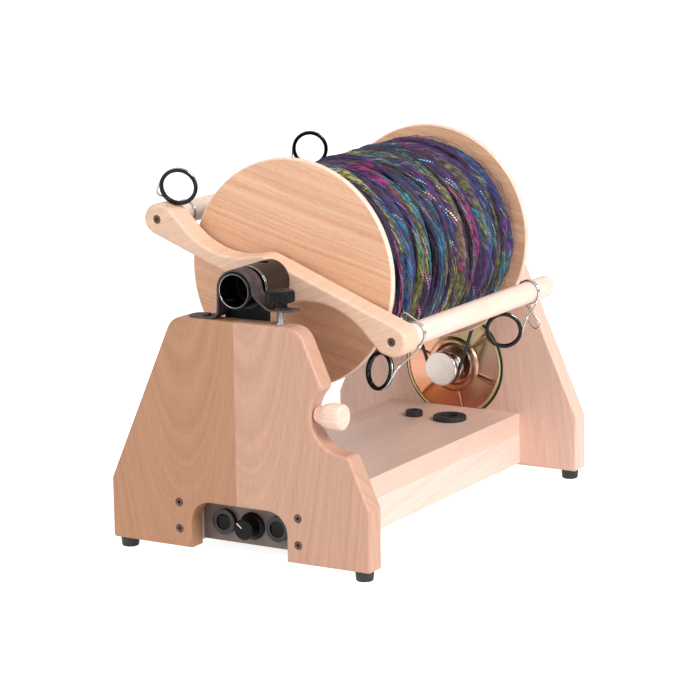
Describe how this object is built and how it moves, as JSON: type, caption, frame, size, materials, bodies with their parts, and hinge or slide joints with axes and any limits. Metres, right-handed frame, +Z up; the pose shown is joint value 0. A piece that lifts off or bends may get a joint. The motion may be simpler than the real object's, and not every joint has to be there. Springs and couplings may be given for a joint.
{
  "type": "electric yarn spinner",
  "caption": "Electric spinner for thick art yarn: wooden base with two uprights, wide orifice, braked flyer with sliding ring guides, and a belt-driven bobbin full of yarn.",
  "frame": {"origin": "on the table, under the middle of the machine's bounding box", "axes": "+X to the right as seen from the orifice, +Y from the orifice end to the motor end, along the flyer's axis, +Z up"},
  "size_m": [0.3302, 0.521, 0.4278],
  "materials": {
    "beech": "oiled beech",
    "beech_plywood": "lacquered beech plywood",
    "hardboard": "raw hardboard",
    "panel_plate": "satin bronze paint",
    "bronzed_steel": "bronzed socket screws",
    "zinc_steel": "zinc plated",
    "black_rubber": "moulded rubber",
    "black_plastic": "moulded plastic",
    "gloss_black": "gloss moulded plastic",
    "ivory_plastic": "acetal bearing plastic",
    "bearing_steel": "ground bearing steel",
    "leather": "waxed dark brown leather",
    "yellow_zinc": "yellow zinc passivated pressing",
    "polished_steel": "turned and polished steel",
    "chrome_wire": "bright spring wire",
    "belt_urethane": "round drive belt",
    "circuit_board": "soldered board",
    "cardboard": "wound card tube",
    "yarn": "hand-spun art yarn"
  },
  "bodies": {
    "frame": {"front_upright": "beech", "rear_upright": "beech", "top_board": "beech", "left_rail": "beech", "side_boards": "beech", "base_floor": "hardboard", "control_panel": "panel_plate", "frame_screws": "bronzed_steel", "rubber_feet": "black_rubber", "foot_screws": "zinc_steel", "front_bearing_block": "black_plastic", "front_bearing_liner": "black_plastic", "rear_bearing_block": "black_plastic", "rear_bearing": "bearing_steel", "block_screws": "bronzed_steel", "brake_strap": "leather", "strap_screw": "bronzed_steel", "tension_stud": "zinc_steel", "motor_plate": "yellow_zinc", "motor_body": "zinc_steel", "motor_screws": "zinc_steel", "drive_belt": "belt_urethane", "power_inlet": "black_plastic", "controller_board": "circuit_board", "switch_housings": "gloss_black", "speed_pot": "zinc_steel"},
    "flyer": {"flyer_arm": "beech", "orifice_tube": "gloss_black", "orifice_hub": "black_plastic", "tube_collar": "bearing_steel", "flyer_shaft": "bearing_steel", "left_dowel": "beech", "right_dowel": "beech", "dowel_screws": "bronzed_steel"},
    "bobbin": {"front_flange": "beech_plywood", "rear_flange": "beech_plywood", "bobbin_tube": "cardboard", "bobbin_bushes": "ivory_plastic", "whorl": "black_plastic", "yarn_core": "yarn", "yarn_winding": "yarn"},
    "motor_rotor": {"motor_pulley": "polished_steel", "motor_shaft": "bearing_steel"},
    "guide_1": {"guide_ring_1": "gloss_black", "guide_clip_1": "chrome_wire"},
    "guide_2": {"guide_ring_2": "gloss_black", "guide_clip_2": "chrome_wire"},
    "guide_3": {"guide_ring_3": "gloss_black", "guide_clip_3": "chrome_wire"},
    "guide_4": {"guide_ring_4": "gloss_black", "guide_clip_4": "chrome_wire"},
    "power_rocker": {"power_rocker": "gloss_black"},
    "direction_rocker": {"direction_rocker": "gloss_black"},
    "speed_knob": {"speed_knob": "black_plastic"},
    "tension_washer": {"tension_washer": "bronzed_steel"},
    "tension_knob": {"tension_knob": "black_plastic"},
    "threading_hook": {"hook_handle": "beech", "hook_wire": "bearing_steel"},
    "small_reducer": {"small_reducer": "black_plastic"},
    "large_reducer": {"large_reducer": "black_plastic"}
  },
  "joints": [
    {"name": "flyer_spin", "type": "hinge", "parent": "frame", "child": "flyer", "pos_m": [0, -0.1585, 0.3003], "axis": [0, 1, 0], "continuous": true},
    {"name": "bobbin_spin", "type": "hinge", "parent": "frame", "child": "bobbin", "pos_m": [0, 0.0215, 0.3003], "axis": [0, 1, 0], "continuous": true},
    {"name": "motor_spin", "type": "hinge", "parent": "frame", "child": "motor_rotor", "pos_m": [0, 0.2135, 0.1283], "axis": [0, 1, 0], "continuous": true},
    {"name": "guide_1_slide", "type": "slide", "parent": "flyer", "child": "guide_1", "axis": [0, 1, 0], "range_m": [-0.008, 0.11]},
    {"name": "guide_2_slide", "type": "slide", "parent": "flyer", "child": "guide_2", "axis": [0, 1, 0], "range_m": [-0.11, 0.005]},
    {"name": "guide_3_slide", "type": "slide", "parent": "flyer", "child": "guide_3", "axis": [0, 1, 0], "range_m": [0, 0.11]},
    {"name": "guide_4_slide", "type": "slide", "parent": "flyer", "child": "guide_4", "axis": [0, 1, 0], "range_m": [-0.11, 0.045]},
    {"name": "power_switch", "type": "hinge", "parent": "frame", "child": "power_rocker", "pos_m": [-0.0342, -0.2295, 0.038], "axis": [-1, 0, 0], "range_deg": [0, 14]},
    {"name": "direction_switch", "type": "hinge", "parent": "frame", "child": "direction_rocker", "pos_m": [0.0342, -0.2295, 0.038], "axis": [1, 0, 0], "range_deg": [-7, 7]},
    {"name": "speed_turn", "type": "hinge", "parent": "frame", "child": "speed_knob", "pos_m": [0, -0.2385, 0.0365], "axis": [0, 1, 0], "range_deg": [-98, 172]},
    {"name": "tension_lift", "type": "slide", "parent": "frame", "child": "tension_washer", "axis": [0, 0, 1], "range_m": [0, 0.004]},
    {"name": "tension_turn", "type": "hinge", "parent": "tension_washer", "child": "tension_knob", "pos_m": [0.0505, -0.245, 0.29], "axis": [0, 0, 1], "range_deg": [0, 1450]},
    {"name": "hook_pull", "type": "slide", "parent": "frame", "child": "threading_hook", "axis": [1, 0, 0], "range_m": [0, 0.14]},
    {"name": "small_reducer_lift", "type": "slide", "parent": "frame", "child": "small_reducer", "axis": [0, 0, 1], "range_m": [0, 0.025]},
    {"name": "large_reducer_lift", "type": "slide", "parent": "frame", "child": "large_reducer", "axis": [0, 0, 1], "range_m": [0, 0.025]}
  ],
  "couplings": [
    {"joint": "motor_spin", "follows": "bobbin_spin", "ratio": 3.8776},
    {"joint": "tension_turn", "follows": "tension_lift", "rad_per_m": 6283.2}
  ]
}
